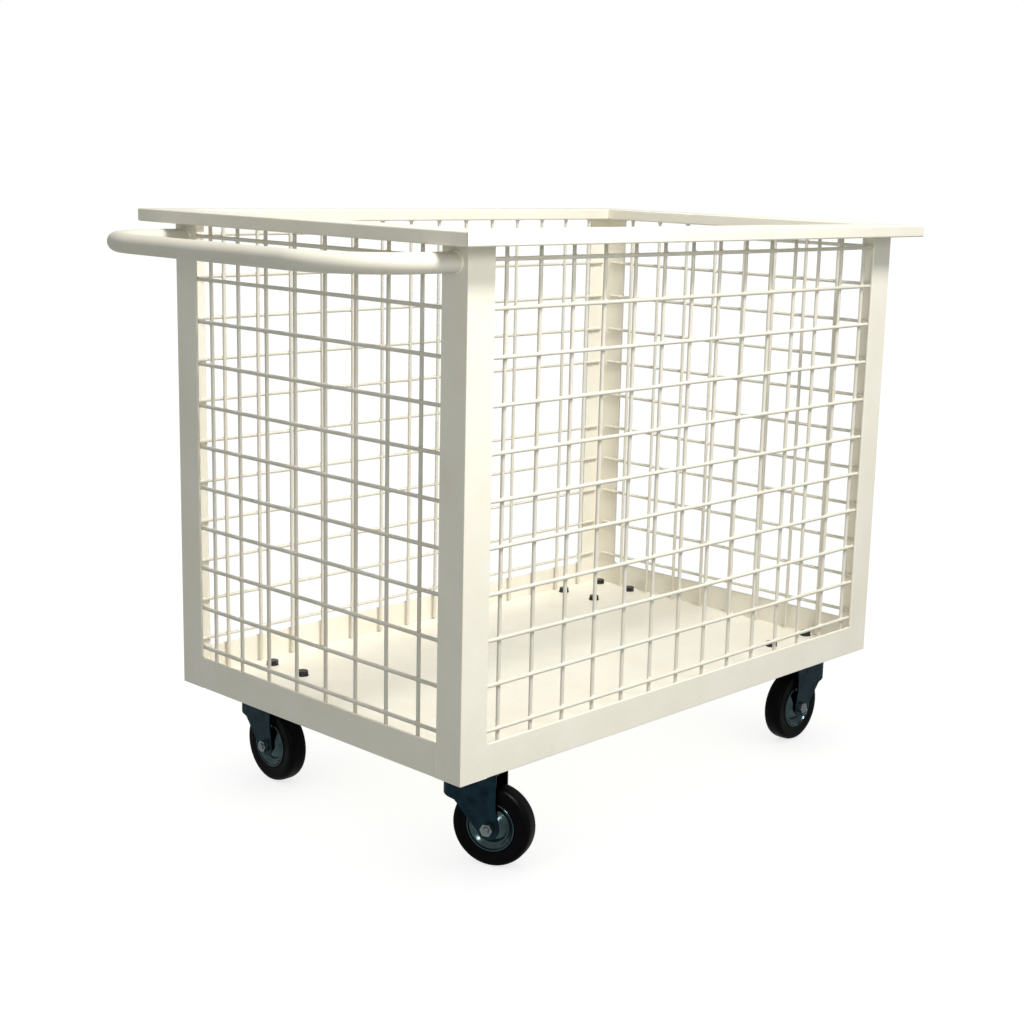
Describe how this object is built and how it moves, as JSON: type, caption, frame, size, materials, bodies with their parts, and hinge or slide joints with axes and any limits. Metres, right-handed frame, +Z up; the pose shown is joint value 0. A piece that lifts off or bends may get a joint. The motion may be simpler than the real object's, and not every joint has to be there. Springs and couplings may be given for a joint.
{
  "type": "linen trolley",
  "caption": "Open-topped wire mesh cage on swivel casters, with an angle iron frame, a flat tube rim and a bent tube push handle, for moving linen.",
  "frame": {"origin": "on the ground under the middle of the bounding box", "axes": "+X along the trolley, away from the push handle; +Y to the left of whoever pushes; +Z up"},
  "size_m": [1.229, 0.73, 0.9115],
  "materials": {
    "powder_coat": "satin ivory powder coat",
    "zinc_plated_steel": "blue zinc plate",
    "black_rubber": "satin black rubber"
  },
  "bodies": {
    "trolley": {"corner_post_rear_right": "powder_coat", "corner_post_rear_left": "powder_coat", "corner_post_front_right": "powder_coat", "corner_post_front_left": "powder_coat", "bottom_rail_right": "powder_coat", "bottom_rail_left": "powder_coat", "bottom_rail_rear": "powder_coat", "bottom_rail_front": "powder_coat", "rim_rail_right": "powder_coat", "rim_rail_left": "powder_coat", "rim_rail_rear": "powder_coat", "rim_rail_front": "powder_coat", "floor_sheet": "powder_coat", "mesh_panel_right": "powder_coat", "mesh_panel_left": "powder_coat", "mesh_panel_rear": "powder_coat", "mesh_panel_front": "powder_coat", "push_handle": "powder_coat", "caster_pad_rear_right": "powder_coat", "caster_pad_rear_left": "powder_coat", "caster_pad_front_right": "powder_coat", "caster_pad_front_left": "powder_coat", "caster_plate_rear_right": "zinc_plated_steel", "swivel_race_rear_right": "zinc_plated_steel", "kingpin_rear_right": "zinc_plated_steel", "caster_plate_rear_left": "zinc_plated_steel", "swivel_race_rear_left": "zinc_plated_steel", "kingpin_rear_left": "zinc_plated_steel", "caster_plate_front_right": "zinc_plated_steel", "swivel_race_front_right": "zinc_plated_steel", "kingpin_front_right": "zinc_plated_steel", "caster_plate_front_left": "zinc_plated_steel", "swivel_race_front_left": "zinc_plated_steel", "kingpin_front_left": "zinc_plated_steel"},
    "swivel_rear_right": {"fork_rear_right": "zinc_plated_steel", "axle_bolt_rear_right": "zinc_plated_steel", "axle_nut_rear_right": "zinc_plated_steel", "axle_sleeve_rear_right": "zinc_plated_steel"},
    "wheel_rear_right": {"wheel_hub_rear_right": "zinc_plated_steel", "tyre_rear_right": "black_rubber"},
    "swivel_rear_left": {"fork_rear_left": "zinc_plated_steel", "axle_bolt_rear_left": "zinc_plated_steel", "axle_nut_rear_left": "zinc_plated_steel", "axle_sleeve_rear_left": "zinc_plated_steel"},
    "wheel_rear_left": {"wheel_hub_rear_left": "zinc_plated_steel", "tyre_rear_left": "black_rubber"},
    "swivel_front_right": {"fork_front_right": "zinc_plated_steel", "axle_bolt_front_right": "zinc_plated_steel", "axle_nut_front_right": "zinc_plated_steel", "axle_sleeve_front_right": "zinc_plated_steel"},
    "wheel_front_right": {"wheel_hub_front_right": "zinc_plated_steel", "tyre_front_right": "black_rubber"},
    "swivel_front_left": {"fork_front_left": "zinc_plated_steel", "axle_bolt_front_left": "zinc_plated_steel", "axle_nut_front_left": "zinc_plated_steel", "axle_sleeve_front_left": "zinc_plated_steel"},
    "wheel_front_left": {"wheel_hub_front_left": "zinc_plated_steel", "tyre_front_left": "black_rubber"}
  },
  "joints": [
    {"name": "swivel_turn_rear_right", "type": "hinge", "parent": "trolley", "child": "swivel_rear_right", "pos_m": [-0.3315, -0.244, 0.061], "axis": [0, 0, 1], "continuous": true},
    {"name": "wheel_spin_rear_right", "type": "hinge", "parent": "swivel_rear_right", "child": "wheel_rear_right", "pos_m": [-0.31577, -0.28294, 0.061], "axis": [0.9272, 0.3746, 0], "continuous": true},
    {"name": "swivel_turn_rear_left", "type": "hinge", "parent": "trolley", "child": "swivel_rear_left", "pos_m": [-0.3315, 0.244, 0.061], "axis": [0, 0, 1], "continuous": true},
    {"name": "wheel_spin_rear_left", "type": "hinge", "parent": "swivel_rear_left", "child": "wheel_rear_left", "pos_m": [-0.33297, 0.20203, 0.061], "axis": [0.9994, -0.0349, 0], "continuous": true},
    {"name": "swivel_turn_front_right", "type": "hinge", "parent": "trolley", "child": "swivel_front_right", "pos_m": [0.4975, -0.254, 0.061], "axis": [0, 0, 1], "continuous": true},
    {"name": "wheel_spin_front_right", "type": "hinge", "parent": "swivel_front_right", "child": "wheel_front_right", "pos_m": [0.45551, -0.25473, 0.061], "axis": [0.0175, -0.9998, 0], "continuous": true},
    {"name": "swivel_turn_front_left", "type": "hinge", "parent": "trolley", "child": "swivel_front_left", "pos_m": [0.4975, 0.254, 0.061], "axis": [0, 0, 1], "continuous": true},
    {"name": "wheel_spin_front_left", "type": "hinge", "parent": "swivel_front_left", "child": "wheel_front_left", "pos_m": [0.48177, 0.21506, 0.061], "axis": [0.9272, -0.3746, 0], "continuous": true}
  ]
}
